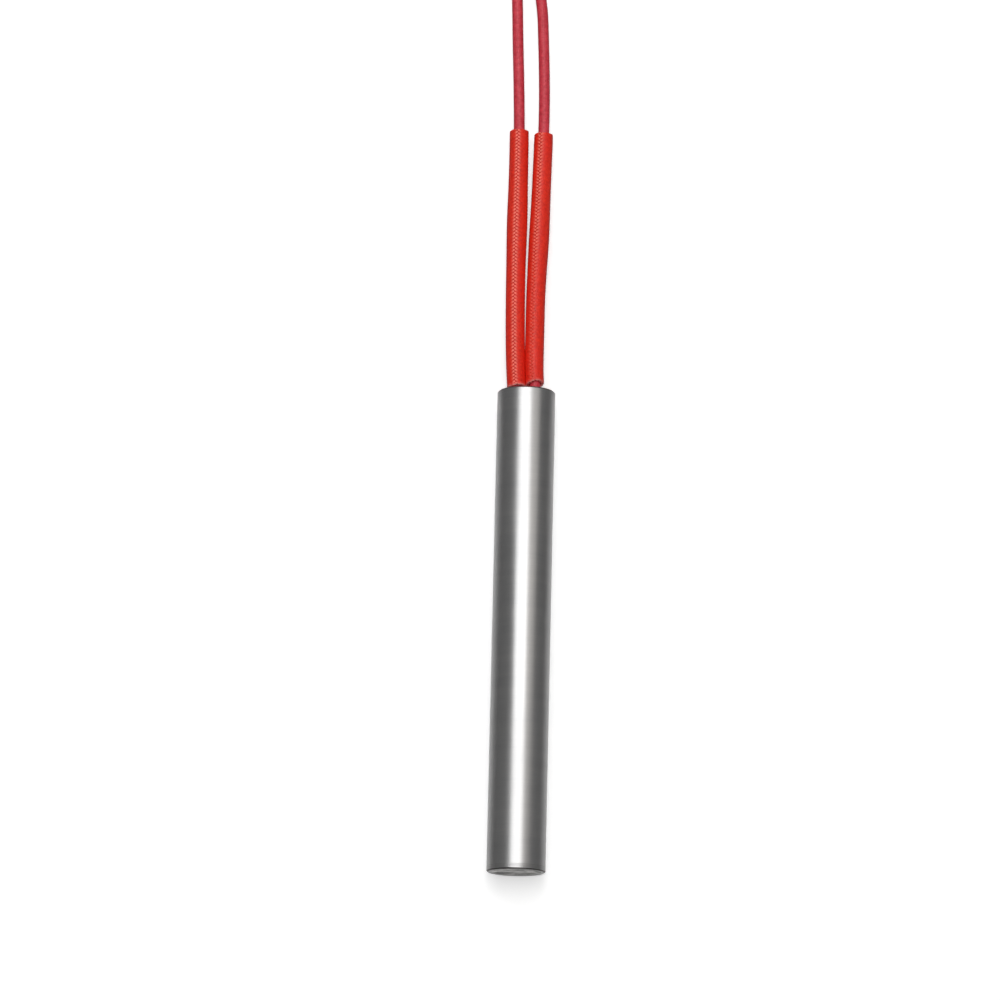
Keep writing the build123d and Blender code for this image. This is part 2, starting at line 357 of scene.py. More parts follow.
def new_material(name, **constants):
    """A material, its Shader and its Principled node, with constant sockets set."""
    material = bpy.data.materials.new(name)
    material.use_nodes = True
    tree = material.node_tree
    surface = tree.nodes["Principled BSDF"]
    for socket, value in constants.items():
        surface.inputs[socket.replace("_", " ")].default_value = value
    return material, Shader(tree), surface.inputs


def rgb(red, green, blue):
    """An opaque colour."""
    return (red, green, blue, 1.0)


def sheath_steel():
    """Ground stainless steel with fine marks round the tube, and a painted dark reflection on its
    chamfers and turned lines.
    """
    material, s, out = new_material("sheath_steel", Metallic=1.0)
    dark, light = rgb(0.56, 0.56, 0.565), rgb(0.63, 0.625, 0.62)
    painted_dark_reflection = rgb(0.17, 0.16, 0.155)
    grinding = s.grain((0.2, 11.0, 0.2), detail=4.0, roughness=0.7)
    bands = s.grain((0.05, 0.5, 0.05), detail=2.0)
    smudges = s.grain((0.12, 0.06, 0.12), detail=4.0)
    shade = s.math("ADD", s.math("MULTIPLY", grinding, 0.6), s.math("MULTIPLY", bands, 0.4))
    ground = s.mix(s.remap(shade, 0.35, 0.65), dark, light)
    # The edge share paints a dark reflection on the rim chamfers and the turned lines.
    s.feed(out["Base Color"], s.mix(s.attribute("edge"), ground, painted_dark_reflection))
    worn = s.remap(smudges, 0.4, 0.7, 0.0, 0.04)
    dull = s.math("ADD", worn, s.remap(shade, 0.3, 0.7, 0.28, 0.33))
    s.feed(out["Roughness"], dull)
    s.feed(out["Normal"], s.bump(grinding, 0.0000009))
    return material


def weld_steel():
    """The dull faced disc and its weld, mottled by heat."""
    material, s, out = new_material("weld_steel", Metallic=1.0)
    dull, bright = rgb(0.30, 0.295, 0.29), rgb(0.86, 0.85, 0.83)
    brown, straw = rgb(0.30, 0.25, 0.20), rgb(0.50, 0.46, 0.42)
    mottle = s.grain((0.45, 0.45, 0.45), detail=5.0, roughness=0.5)
    spots = s.grain((5.0, 5.0, 5.0), detail=3.0)
    tint = s.attribute("heat")
    faced = s.mix(s.remap(mottle, 0.36, 0.66), dull, bright)
    heated = s.mix(s.remap(spots, 0.35, 0.65), brown, straw)
    s.feed(out["Base Color"], s.mix(s.math("MULTIPLY", tint, 0.7), faced, heated))
    s.feed(out["Roughness"], s.remap(mottle, 0.3, 0.7, 0.48, 0.34))
    rough = s.math("ADD", mottle, s.math("MULTIPLY", spots, 0.5))
    s.feed(out["Normal"], s.bump(rough, 0.00002))
    return material


def sleeve_braid():
    """Orange-red coated glass braid, with painted shade between strands and inside, painted pink
    highlights on strand tops in the crease, and pink where it is cut.
    """
    material, s, out = new_material("sleeve_braid", IOR=1.48, Specular_IOR_Level=0.32)
    strand_dark, strand_light = rgb(0.70, 0.020, 0.009), rgb(0.865, 0.033, 0.012)
    patch_red, painted_valley_shade = rgb(0.81, 0.022, 0.015), rgb(0.44, 0.008, 0.004)
    painted_gap_shade, painted_highlight_pink = rgb(0.48, 0.008, 0.004), rgb(1.0, 0.24, 0.17)
    cut_dark, cut_light = rgb(0.80, 0.16, 0.14), rgb(0.98, 0.46, 0.42)
    relief = s.attribute("relief")
    cut = s.attribute("cut")
    crease = s.attribute("crease")
    strand = s.grain((1.6, 1.6, 1.6), detail=4.0)
    patch = s.grain((0.16, 0.16, 0.16), detail=2.0)
    lit = s.mix(s.remap(strand, 0.35, 0.65), strand_dark, strand_light)
    lit = s.mix(s.remap(patch, 0.4, 0.65, 0.0, 0.35), lit, patch_red)
    # Painted shade: a darker red in the braid's low places and all through the bore.
    coated = s.mix(s.remap(relief, 0.0, 0.5), painted_valley_shade, lit)
    # Painted shade in the crease's low places, and painted pink highlights on the strand tops
    # there.
    painted_gap_share = s.math("MULTIPLY", crease, s.remap(relief, 0.78, 0.48))
    coated = s.mix(painted_gap_share, coated, painted_gap_shade)
    painted_highlight_tops = s.math("MULTIPLY", crease, s.remap(relief, 0.70, 0.88))
    coated = s.mix(painted_highlight_tops, coated, painted_highlight_pink)
    raw = s.mix(s.remap(strand, 0.4, 0.6), cut_dark, cut_light)
    s.feed(out["Base Color"], s.mix(cut, coated, raw))
    shine = s.remap(relief, 0.0, 1.0, 0.50, 0.34)
    s.feed(out["Roughness"], s.math("ADD", shine, s.math("MULTIPLY", cut, 0.35)))
    fibres = s.grain((14.0, 14.0, 14.0), detail=3.0)
    s.feed(out["Normal"], s.bump(fibres, 0.000004))
    return material


def lead_cover():
    """Crimson lacquered glass braid, fine enough to read as a mottled skin."""
    material, s, out = new_material("lead_cover", IOR=1.5)
    dark, light = rgb(0.56, 0.022, 0.042), rgb(0.80, 0.060, 0.088)
    between_threads, cut_end = rgb(0.42, 0.014, 0.030), rgb(0.70, 0.42, 0.40)
    place = s.add("SeparateXYZ", {"Vector": s.add("TexCoord").outputs["UV"]})
    around = s.math("MULTIPLY", place.outputs["X"], 2 * math.pi * LEAD_WEAVE_TURNS)
    along = s.math("MULTIPLY", place.outputs["Y"], 2 * math.pi * LEAD_WEAVE_PER_MM)
    one_way = s.math("SINE", s.math("ADD", around, along))
    other_way = s.math("SINE", s.math("SUBTRACT", around, along))
    weave = s.math("MULTIPLY", one_way, other_way)
    mottle = s.grain((1.1, 1.1, 1.1), detail=5.0, roughness=0.65)
    colour = s.mix(s.remap(mottle, 0.35, 0.65), dark, light)
    threads = s.remap(weave, -1.0, 1.0, 0.0, 0.35)
    colour = s.mix(threads, colour, between_threads)
    colour = s.mix(s.attribute("cut"), colour, cut_end)
    s.feed(out["Base Color"], colour)
    s.feed(out["Roughness"], s.remap(mottle, 0.3, 0.7, 0.50, 0.36))
    height = s.math("ADD", weave, s.math("MULTIPLY", mottle, 1.2))
    s.feed(out["Normal"], s.bump(height, 0.000018))
    return material


def simple_material(name, dark, light, per_mm, rough, bump, **constants):
    """A surface that varies between two colours and two roughnesses."""
    material, s, out = new_material(name, **constants)
    grain = s.grain(per_mm, detail=4.0)
    s.feed(out["Base Color"], s.mix(s.remap(grain, 0.35, 0.65), rgb(*dark), rgb(*light)))
    s.feed(out["Roughness"], s.remap(grain, 0.3, 0.7, *rough))
    s.feed(out["Normal"], s.bump(grain, bump))
    return material


# Finishes of the plain pieces, with the grain per millimetre and the bump in metres
SIMPLE = {
    "insulator_ceramic": {
        "dark": (0.78, 0.76, 0.70), "light": (0.86, 0.84, 0.80),
        "per_mm": (1.2, 1.2, 1.2), "rough": (0.62, 0.5), "bump": 8e-6,
    },
    "core_magnesia": {
        "dark": (0.80, 0.79, 0.75), "light": (0.88, 0.87, 0.85),
        "per_mm": (2.2, 2.2, 2.2), "rough": (0.9, 0.8), "bump": 1.5e-5,
    },
    "resistance_alloy": {
        "dark": (0.30, 0.29, 0.28), "light": (0.48, 0.46, 0.44),
        "per_mm": (0.5, 3.0, 0.5), "rough": (0.45, 0.3), "bump": 4e-6, "Metallic": 1.0,
    },
    "pin_nickel": {
        "dark": (0.55, 0.53, 0.49), "light": (0.68, 0.66, 0.62),
        "per_mm": (3.0, 0.3, 3.0), "rough": (0.38, 0.26), "bump": 4e-6, "Metallic": 1.0,
    },
    "mica": {
        "dark": (0.60, 0.52, 0.36), "light": (0.80, 0.74, 0.60),
        "per_mm": (0.8, 4.0, 0.8), "rough": (0.3, 0.45), "bump": 5e-6,
    },
    "cement": {
        "dark": (0.72, 0.71, 0.68), "light": (0.83, 0.82, 0.79),
        "per_mm": (3.0, 3.0, 3.0), "rough": (0.95, 0.85), "bump": 2.5e-5,
    },
    "crimp_metal": {
        "dark": (0.50, 0.48, 0.45), "light": (0.62, 0.60, 0.57),
        "per_mm": (1.5, 1.5, 1.5), "rough": (0.42, 0.3), "bump": 6e-6, "Metallic": 1.0,
    },
    "tinned_copper": {
        "dark": (0.60, 0.59, 0.57), "light": (0.78, 0.77, 0.75),
        "per_mm": (1.5, 0.6, 1.5), "rough": (0.36, 0.22), "bump": 6e-6, "Metallic": 1.0,
    },
    "mouth_rubber": {
        "dark": (0.26, 0.030, 0.034), "light": (0.38, 0.055, 0.060),
        "per_mm": (1.8, 1.8, 1.8), "rough": (0.62, 0.5), "bump": 2e-5,
    },
    "tie_plastic": {
        "dark": (0.76, 0.76, 0.73), "light": (0.84, 0.84, 0.81),
        "per_mm": (0.5, 0.5, 0.5), "rough": (0.42, 0.32), "bump": 3e-6,
        "Subsurface_Weight": 0.15, "Subsurface_Scale": 0.0006,
    },
}
made = {name: simple_material(name, **finish) for name, finish in SIMPLE.items()}
made["sheath_steel"] = sheath_steel()
made["weld_steel"] = weld_steel()
made["sleeve_braid"] = sleeve_braid()
made["lead_insulation"] = lead_cover()

for subpart in frame["record"]["subparts"]:
    slots = frame["nodes"][subpart["node"]].data.materials
    slots.clear()
    slots.append(made[subpart["material_slot"]])

# Meshes


def new_piece(name, points, faces, slot, nodes, attributes=None, uvs=None):
    """A smooth mesh that stands for CAD nodes and takes the finish of a record's slot."""
    mesh = bpy.data.meshes.new(name)
    mesh.from_pydata(np.asarray(points).tolist(), [], faces)
    mesh.shade_smooth()
    mesh.materials.append(made[slot])
    for key, values in (attributes or {}).items():
        layer = mesh.attributes.new(key, "FLOAT", "POINT")
        layer.data.foreach_set("value", np.asarray(values, float).ravel())
    if uvs is not None:
        layer = mesh.uv_layers.new(name="UVMap")
        layer.data.foreach_set("uv", np.asarray(uvs, float).ravel())
    piece = bpy.data.objects.new(name, mesh)
    bpy.context.scene.collection.objects.link(piece)
    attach(piece, "root")
    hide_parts(*nodes)
    return piece


def grid_faces(rows, sides, closed):
    """Quads over rows of points that go round; closed joins the last row to the first."""
    faces = []
    for row in range(rows if closed else rows - 1):
        here, there = row * sides, (row + 1) % rows * sides
        for side in range(sides):
            beside = (side + 1) % sides
            faces.append((here + side, here + beside, there + beside, there + side))
    return faces


def end_fans(rows, sides):
    """Triangles that close the first and the last row, each to a point of its own."""
    front, last = rows * sides, (rows - 1) * sides
    faces = []
    for side in range(sides):
        beside = (side + 1) % sides
        faces.append((front, beside, side))
        faces.append((front + 1, last + side, last + beside))
    return faces


def rounded(corners, radius=EDGE_ROUNDING, steps=3):
    """A closed outline with rounded corners and a support point on both sides of each."""
    points = []
    corners = [np.array(c, float) for c in corners]
    for i, corner in enumerate(corners):
        to_last = corners[i - 1] - corner
        to_next = corners[(i + 1) % len(corners)] - corner
        shorter = min(np.linalg.norm(to_last), np.linalg.norm(to_next))
        to_last /= np.linalg.norm(to_last)
        to_next /= np.linalg.norm(to_next)
        cut = min(radius, CORNER_SHARE * shorter)
        support = min(cut + SUPPORT_GAP, SUPPORT_SHARE * shorter)
        points.append(corner + support * to_last)
        for t in np.linspace(0, 1, steps + 1):
            points.append(corner + cut * ((1 - t) ** 2 * to_last + t**2 * to_next))
        points.append(corner + support * to_next)
    return np.array(points)


def ring_points(radii, depths, turns):
    """Points round the heater's axis, one row for each radius and depth."""
    radii, depths, turns = np.broadcast_arrays(radii, depths, turns)
    x = radii * np.sin(turns)
    z = AXIS_Z + radii * np.cos(turns)
    return np.stack([x, CLOSED_Y + depths, z], axis=-1)


def turned_line(depth):
    """The outline of one fine line cut round the sheath."""
    half, sunk = TURNED_LINE_WIDTH / 2, SHEATH_R - TURNED_LINE_DEPTH
    return [(SHEATH_R, depth - half), (sunk, depth), (SHEATH_R, depth + half)]


def sheath():
    """The tube, with chamfered rims and the fine lines turned beside its closed end."""
    length = MOUTH_Y - CLOSED_Y
    lip = BORE_R + INNER_LIP_CHAMFER
    corners = [
        (lip, 0.0),
        (SHEATH_R - CLOSED_RIM_CHAMFER, 0.0),
        (SHEATH_R, CLOSED_RIM_CHAMFER),
        *[point for depth in TURNED_LINE_DEPTHS for point in turned_line(depth)],
        (SHEATH_R, length - MOUTH_RIM_CHAMFER),
        (SHEATH_R - MOUTH_RIM_CHAMFER, length),
        (lip, length),
        (BORE_R, length - INNER_LIP_CHAMFER),
        (BORE_R, INNER_LIP_CHAMFER),
    ]
    outline = rounded(corners)
    turns = np.linspace(0, 2 * math.pi, SHEATH_SEGMENTS, endpoint=False)
    points = ring_points(outline[:, :1], outline[:, 1:], turns[None, :])
    faces = grid_faces(len(outline), SHEATH_SEGMENTS, closed=True)
    inset, depth = SHEATH_R - outline[:, 0], outline[:, 1]
    closed_edge = np.abs(inset + depth - CLOSED_RIM_CHAMFER) < EDGE_ROUNDING / 2
    mouth_edge = np.abs(inset + length - depth - MOUTH_RIM_CHAMFER) < EDGE_ROUNDING / 2
    near_lines = np.abs(depth - TURNED_LINE_DEPTHS[1]) < TURNED_LINE_REACH
    in_line = (inset > TURNED_LINE_DEPTH / 3) & near_lines
    # The edge share marks where the steel gets a painted dark reflection: all of the closed
    # chamfer, part of the mouth's chamfer and the turned lines.
    edge = closed_edge + MOUTH_EDGE_SHARE * mouth_edge + TURNED_LINE_SHARE * in_line
    edge = np.repeat(np.minimum(edge, 1), SHEATH_SEGMENTS)
    return new_piece(
        "sheath_tube", points.reshape(-1, 3), faces, "sheath_steel", ["sheath"], {"edge": edge}
    )


def end_disc():
    """The disc in the closed end, faced in fine rings, with the rippled weld round it."""
    turns = np.linspace(0, 2 * math.pi, DISC_SEGMENTS, endpoint=False)[None, :]
    weld_start = BORE_R - WELD_WIDTH
    face_radii = np.linspace(DISC_HUB, 1, FACING_ROWS) * weld_start
    share = np.linspace(0, 1, WELD_ROWS + 1)[1:, None]
    facing = FACING_HEIGHT * np.cos(2 * math.pi * FACING_RINGS * face_radii / weld_start)
    face = ring_points(face_radii[:, None], (DISC_RECESS + facing)[:, None], turns)
    phase = WELD_RIPPLES * turns + WELD_RIPPLE_SWEEP * 4 * (share - 0.5) ** 2 * math.pi
    crown = WELD_CROWN * np.sin(math.pi * share)
    ripple = WELD_RIPPLE_HEIGHT * np.sin(math.pi * share) * (1 - np.abs(np.sin(phase / 2)))
    rise = WELD_RISE * (3 * share**2 - 2 * share**3)
    weld = ring_points(weld_start + share * WELD_WIDTH, DISC_RECESS - rise - crown - ripple, turns)
    back_depth = DISC_BACK_Y - CLOSED_Y
    back_radii = BORE_R * np.array([1, 1, DISC_SUPPORT, DISC_HUB])[:, None]
    back_depths = back_depth * np.array([DISC_SUPPORT, 1, 1, 1])[:, None]
    back = ring_points(back_radii, back_depths, turns)
    rows = np.concatenate([face, weld, back])
    count = len(rows)
    points = np.concatenate([
        rows.reshape(-1, 3),
        [(0, CLOSED_Y + DISC_RECESS, AXIS_Z), (0, CLOSED_Y + back_depth, AXIS_Z)],
    ])
    faces = grid_faces(count, DISC_SEGMENTS, closed=False)
    faces += end_fans(count, DISC_SEGMENTS)
    radii = np.linalg.norm(points[:, [0, 2]] - (0, AXIS_Z), axis=1)
    heat = np.clip((radii - weld_start + HEAT_START) / HEAT_WIDTH, 0, 1)
    return new_piece("end_weld", points, faces, "weld_steel", ["end_disc"], {"heat": heat})


# Leads and sleeves


def smooth(value, low, high):
    """A share from 0 to 1 that eases in and out between two values."""
    share = np.clip((value - low) / (high - low), 0, 1)
    return share * share * (3 - 2 * share)


def hank_run(start, end, near, waist, far, flare):
    """Places along one run of the hank, from its middle outwards on both sides."""
    count = round(abs(end - start) / RUN_STEP) + 1
    places = []
    for along in np.linspace(start, end, count):
        side = near if along < 0 else far
        places.append((waist + (side - waist) * smooth(abs(along), *flare), along))
    return places


def hank_loop(centre, start, turn):
    """Places round one end loop, between the runs that it joins."""
    angles = start + turn * np.linspace(0, math.pi, LOOP_POINTS + 2)[1:-1]
    return [(centre[0] + LOOP_R * math.cos(a), centre[1] + LOOP_R * math.sin(a)) for a in angles]


def hank_route(level):
    """One lead's way through the hank: three runs and the two loops between them."""
    x, y = LOOP_CENTRE
    lead_in = -HANK_HALF + RUN_STEP
    places = [
        *hank_run(lead_in, y, -OUTER_RUN, -WAIST_PITCH, -LOOP_SIDE, OUTER_FLARE),
        *hank_loop((-x, y), math.pi, -1),
        *hank_run(y, -y, -INNER_RUN, 0.0, INNER_RUN, INNER_FLARE),
        *hank_loop((x, -y), math.pi, 1),
        *hank_run(-y, HANK_HALF, LOOP_SIDE, WAIST_PITCH, OUTER_RUN, OUTER_FLARE),
    ]
    return [
        (HANK_X + u, HANK_Y + v, level + WAIST_RAISE * (1 - smooth(abs(v), *ARCH)))
        for u, v in places
    ]


def route_line(name, route):
    """Points along the NURBS spline that has the route's points as control points."""
    curve = bpy.data.curves.new(name, "CURVE")
    curve.dimensions = "3D"
    curve.resolution_u = ROUTE_STEPS
    spline = curve.splines.new("NURBS")
    spline.points.add(len(route) - 1)
    for point, place in zip(spline.points, route):
        point.co = (*place, 1.0)
    spline.order_u = 3
    spline.use_endpoint_u = True
    holder = bpy.data.objects.new(name, curve)
    mesh = bpy.data.meshes.new_from_object(holder)
    line = np.array([vertex.co for vertex in mesh.vertices], float)
    bpy.data.meshes.remove(mesh)
    bpy.data.objects.remove(holder)
    bpy.data.curves.remove(curve)
    return line


class Path:
    """A line with the length along it and a frame that doesn't twist."""

    def __init__(self, line):
        self.line = line
        steps = np.linalg.norm(np.diff(line, axis=0), axis=1)
        self.at = np.concatenate([[0], np.cumsum(steps)])
        ahead = np.gradient(line, self.at, axis=0)
        self.ahead = ahead / np.linalg.norm(ahead, axis=1)[:, None]
        up = np.array([0.0, 0.0, 1.0])
        ups = []
        for direction in self.ahead:
            up = up - direction * (up @ direction)
            up /= np.linalg.norm(up)
            ups.append(up)
        self.up = np.array(ups)

    def length_at_y(self, y):
        """The length along the line where its outward stretch reaches a depth Y."""
        outward = self.at < OUTWARD_STRETCH
        return float(np.interp(y, self.line[:, 1][outward], self.at[outward]))

    def tube(self, along, radius, turns):
        """Points at lengths, radii and angles round the line."""
        along, radius, turns = np.broadcast_arrays(along, radius, turns)
        place = self.sample(self.line, along)
        up = self.sample(self.up, along)
        side = np.cross(self.sample(self.ahead, along), up)
        offset = np.cos(turns)[..., None] * up + np.sin(turns)[..., None] * side
        return place + radius[..., None] * offset

    def sample(self, values, along):
        """Values that are known along the line, at other lengths."""
        flat = along.ravel()
        columns = [np.interp(flat, self.at, values[:, k]) for k in range(3)]
        return np.stack(columns, axis=1).reshape(*along.shape, 3)


def capped_tube(path, along, radii, sides):
    """A tube's points and faces, closed by a fan at each end."""
    turns = np.linspace(0, 2 * math.pi, sides, endpoint=False)[None, :]
    rows = path.tube(np.asarray(along)[:, None], np.asarray(radii)[:, None], turns)
    count = len(along)
    ends = path.sample(path.line, np.array([along[0], along[-1]]))
    points = np.concatenate([rows.reshape(-1, 3), ends])
    return points, grid_faces(count, sides, closed=False) + end_fans(count, sides)


def lead(name, path, node):
    """A lead's braided cover, from its crimp to its bare tip."""
    total = path.at[-1]
    between = np.linspace(LEAD_EDGE, total - LEAD_EDGE, round(total / LEAD_ROW))
    along = np.concatenate([[0.0], between, [total - LEAD_EDGE / 3, total, total]])
    radii = np.full(len(along), LEAD_R)
    radii[-2:] = LEAD_R - LEAD_EDGE / 2, LEAD_R / 2
    points, faces = capped_tube(path, along, radii, LEAD_SIDES)
    uvs = lead_uvs(along, faces, len(points))
    cut = np.zeros(len(points))
    cut[(len(along) - 1) * LEAD_SIDES:] = 1.0
    return new_piece(
        name, points, faces, "lead_insulation", [node, "lead_hank"], {"cut": cut}, uvs
    )


def lead_uvs(along, faces, point_count):
    """Turns and millimetres along the lead, for every face corner."""
    at = np.full(point_count, along[-1])
    at[: len(along) * LEAD_SIDES] = np.repeat(along, LEAD_SIDES)
    turn = np.zeros(point_count)
    turn[: len(along) * LEAD_SIDES] = np.tile(np.arange(LEAD_SIDES) / LEAD_SIDES, len(along))
    uvs = []
    for face in faces:
        turns = [turn[i] for i in face]
        wraps = max(turns) - min(turns) > 0.5
        uvs += [(t + (wraps and t < 0.5), at[i] * 1000) for t, i in zip(turns, face)]
    return uvs


def braid_relief(turns, along):
    """The height, from 0 to 1, of a two-over-two braid at an angle and a length."""
    turn = turns / (2 * math.pi)
    one_way = STRANDS * (turn + along / BRAID_LAY)
    other_way = STRANDS * (turn - along / BRAID_LAY)

    def height(strand, crossed, side):
        """The strands of one way, round on top, where they pass over and under the others."""
        off = strand - np.round(strand)
        wave = OVER_UNDER_WAVE * np.cos(math.pi / 2 * (np.round(strand) + crossed - 0.5))
        top = np.sqrt(np.clip(1 - (2 * off) ** 2, 0, 1))
        return top + OVER_UNDER_RISE * side * np.clip(wave, -1, 1)

    higher = np.maximum(height(one_way, other_way, 1), height(other_way, one_way, -1))
    return np.clip(higher / (1 + OVER_UNDER_RISE), 0, 1)


def crease_share(turns, crease_turn):
    """How much an angle is in the flattened sleeve's crease, which runs on both sides."""
    share = 0.0
    for side in (0, math.pi):
        off = (turns - crease_turn - side + math.pi) % (2 * math.pi) - math.pi
        share = share + np.exp(-((off / CREASE_WIDTH) ** 2))
    return share


def sleeve_rows(start, end, far_lip, outer_radius):
    """A closed loop of rows: along the outside, over the far end, and back inside.

    It gives each row's length along the lead, its radius and its share of the relief.
    """
    near, far = start + SLEEVE_NEAR_LIP, end - far_lip
    near_r, far_r = outer_radius(start) - SLEEVE_NEAR_LIP, outer_radius(end) - far_lip
    throat_end = near + SLEEVE_THROAT_REACH
    lip = np.linspace(0, math.pi / 2, SLEEVE_LIP_ROWS)
    face = np.linspace(0, 1, SLEEVE_FACE_ROWS + 2)[1:-1]
    outside = np.linspace(near, far, SLEEVE_ROWS)
    bore = np.concatenate([
        np.linspace(far, throat_end, SLEEVE_INNER_ROWS),
        np.linspace(throat_end, near, SLEEVE_THROAT_ROWS)[1:],
    ])
    narrowing = (SLEEVE_BORE_R - SLEEVE_THROAT_R) * (1 - smooth(bore, near, throat_end))
    along = np.concatenate([
        outside,
        far + far_lip * np.sin(lip[1:]),
        np.full(SLEEVE_FACE_ROWS, end),
        bore,
        np.full(SLEEVE_FACE_ROWS, start),
        near - SLEEVE_NEAR_LIP * np.cos(lip[:-1]),
    ])
    radius = np.concatenate([
        outer_radius(outside),
        far_r + far_lip * np.cos(lip[1:]),
        far_r + face * (SLEEVE_BORE_R - far_r),
        SLEEVE_BORE_R - narrowing,
        SLEEVE_THROAT_R + face * (near_r - SLEEVE_THROAT_R),
        near_r + SLEEVE_NEAR_LIP * np.sin(lip[:-1]),
    ])
    relief = np.concatenate([
        np.ones(SLEEVE_ROWS),
        FACE_RELIEF + (1 - FACE_RELIEF) * np.cos(lip[1:]),
        np.full(SLEEVE_FACE_ROWS, FACE_RELIEF),
        np.zeros(len(bore)),
        np.full(SLEEVE_FACE_ROWS, FACE_RELIEF),
        FACE_RELIEF + (1 - FACE_RELIEF) * np.sin(lip[:-1]),
    ])
    return along[:, None], radius[:, None], relief[:, None]


def sleeve(name, node, path, shape):
    """A braided sleeve over a lead, creased along its length and cut off at both ends."""
    low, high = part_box(node)
    start, end = path.length_at_y(low[1]), path.length_at_y(high[1])
    middle = path.length_at_y(shape["bulge_y"])
    turns = np.linspace(0, 2 * math.pi, SLEEVE_SIDES, endpoint=False)[None, :]

    def outer_radius(along):
        """The radius outside, with the bulge, the neck and the end that curls in."""
        bulge = BULGE * np.exp(-(((along - middle) / BULGE_SPREAD) ** 2))
        neck = NECK * np.exp(-(((along - start) / NECK_SPREAD) ** 2))
        curl = shape["curl"] * smooth(along, end - CURL_REACH, end)
        return shape["radius"] + bulge - neck - curl

    along, base, weight = sleeve_rows(start, end, shape["far_lip"], outer_radius)
    outside = weight > 0
    near_share = 1 - smooth(along, start, start + CUT_REACH)
    far_share = smooth(along, end - CUT_REACH, end)
    relief = braid_relief(turns - shape["braid_turn"], along)
    creased = crease_share(turns, shape["crease_turn"])

    ragged = sum(size * np.sin(count * turns + phase) for count, size, phase in FRAY_WAVES)
    frayed = ragged * (near_share * shape["near_fray"] - far_share * shape["far_fray"])
    slant = shape["slant"] * np.cos(turns - shape["slant_turn"]) + shape["set_back"]
    slanted = slant * (1 - smooth(along, start, start + SLANT_REACH))
    sunk = BRAID_RELIEF * weight * (COATED_RELIEF + (1 - COATED_RELIEF) * creased)
    points = path.tube(along + frayed + slanted, base - sunk * (1 - relief), turns)

    on_face = outside & (base < outer_radius(along) - CUT_FACE_GAP)
    cut = np.maximum(near_share**3, CUT_FAR_SHARE * far_share**3)
    cut = cut * np.where(on_face, 1.0, CUT_OUTSIDE_SHARE) * outside
    # The crease attribute carries the painted highlight and painted shade; crease_near sets how
    # strong they are at the mouth.
    fade_start, fade_end = start + CREASE_FADE[0], start + CREASE_FADE[1]
    near_crease = shape["crease_near"]
    kept = near_crease + (1 - near_crease) * smooth(along, fade_start, fade_end)
    attributes = {
        "relief": relief * outside,
        "cut": np.broadcast_to(cut, relief.shape),
        "crease": creased * outside * kept,
    }
    faces = grid_faces(len(along), SLEEVE_SIDES, closed=True)
    return new_piece(name, points.reshape(-1, 3), faces, "sleeve_braid", [node], attributes)


def bare_tip(name, node, level):
    """The stripped, twisted and tinned end of a lead: one strand with six round it."""
    along = np.linspace(0, tip_high[1] - tip_low[1] - TIP_CUT, STRAND_ROWS)
    radii = np.full(STRAND_ROWS, STRAND_OVERLAP * STRAND_R)
    radii[-2:] = STRAND_R * np.array(STRAND_END)
    points, faces = [], []
    for strand in range(TIP_STRANDS):
        offset = 2 * STRAND_R if strand else 0.0
        angle = 2 * math.pi * (strand / (TIP_STRANDS - 1) + along / STRAND_LAY)
        line = np.stack([
            HANK_X + OUTER_RUN + offset * np.cos(angle),
            tip_low[1] + along,
            level + offset * np.sin(angle),
        ], axis=1)
        path = Path(line)
        tube, tube_faces = capped_tube(path, path.at, radii, STRAND_SIDES)
        faces += [tuple(i + len(points) for i in face) for face in tube_faces]
        points += tube.tolist()
    return new_piece(name, points, faces, "tinned_copper", [node])


# Cable tie


def tie_band():
    """The band: a flat strap with rounded edges, bent round the hank's waist."""
    middle = TIE_THICKNESS / 2
    half_x, half_z = TIE_INNER[0] / 2 + middle, TIE_INNER[1] / 2 + middle
    loop, outward = [], []
    for quarter, (side_x, side_z) in enumerate(((1, 1), (-1, 1), (-1, -1), (1, -1))):
        centre = np.array([side_x * (half_x - TIE_CORNER), side_z * (half_z - TIE_CORNER)])
        for turn in np.linspace(0, math.pi / 2, TIE_CORNER_POINTS):
            angle = quarter * math.pi / 2 + turn
            direction = np.array([math.cos(angle), math.sin(angle)])
            loop.append(centre + TIE_CORNER * direction)
            outward.append(direction)
    half = TIE_WIDTH / 2
    corners = [(-middle, -half), (middle, -half), (middle, half), (-middle, half)]
    section = rounded(corners, TIE_BAND_EDGE)
    points = [
        (HANK_X + at[0] + off * out[0], HANK_Y + across, TIE_AXIS_Z + at[1] + off * out[1])
        for at, out in zip(loop, outward)
        for off, across in section
    ]
    return points, grid_faces(len(loop), len(section), closed=True)


def tie_head(mesh):
    """Adds the head: a rounded block with a sunk window in its top."""
    box = bmesh.ops.create_cube(mesh, size=1.0)["verts"]
    bmesh.ops.scale(mesh, vec=TIE_HEAD, verts=box)
    centre = Vector((TIE_HEAD_X, HANK_Y, TIE_TOP - TIE_THICKNESS + TIE_HEAD[2] / 2))
    bmesh.ops.translate(mesh, vec=centre, verts=box)
    sides = {face for vert in box for face in vert.link_faces}
    top = max(sides, key=lambda face: face.calc_center_median().z)
    bmesh.ops.inset_individual(mesh, faces=[top], thickness=TIE_WINDOW_WALL)
    window = bmesh.ops.extrude_discrete_faces(mesh, faces=[top])["faces"][0]
    bmesh.ops.translate(mesh, vec=(0, 0, -TIE_WINDOW_DEPTH), verts=window.verts)
    edges = list({edge for vert in box for edge in vert.link_edges})
    steps = TIE_HEAD_EDGE_STEPS
    bmesh.ops.bevel(
        mesh, geom=edges, offset=TIE_HEAD_EDGE, segments=steps, profile=0.5, affect="EDGES"
    )


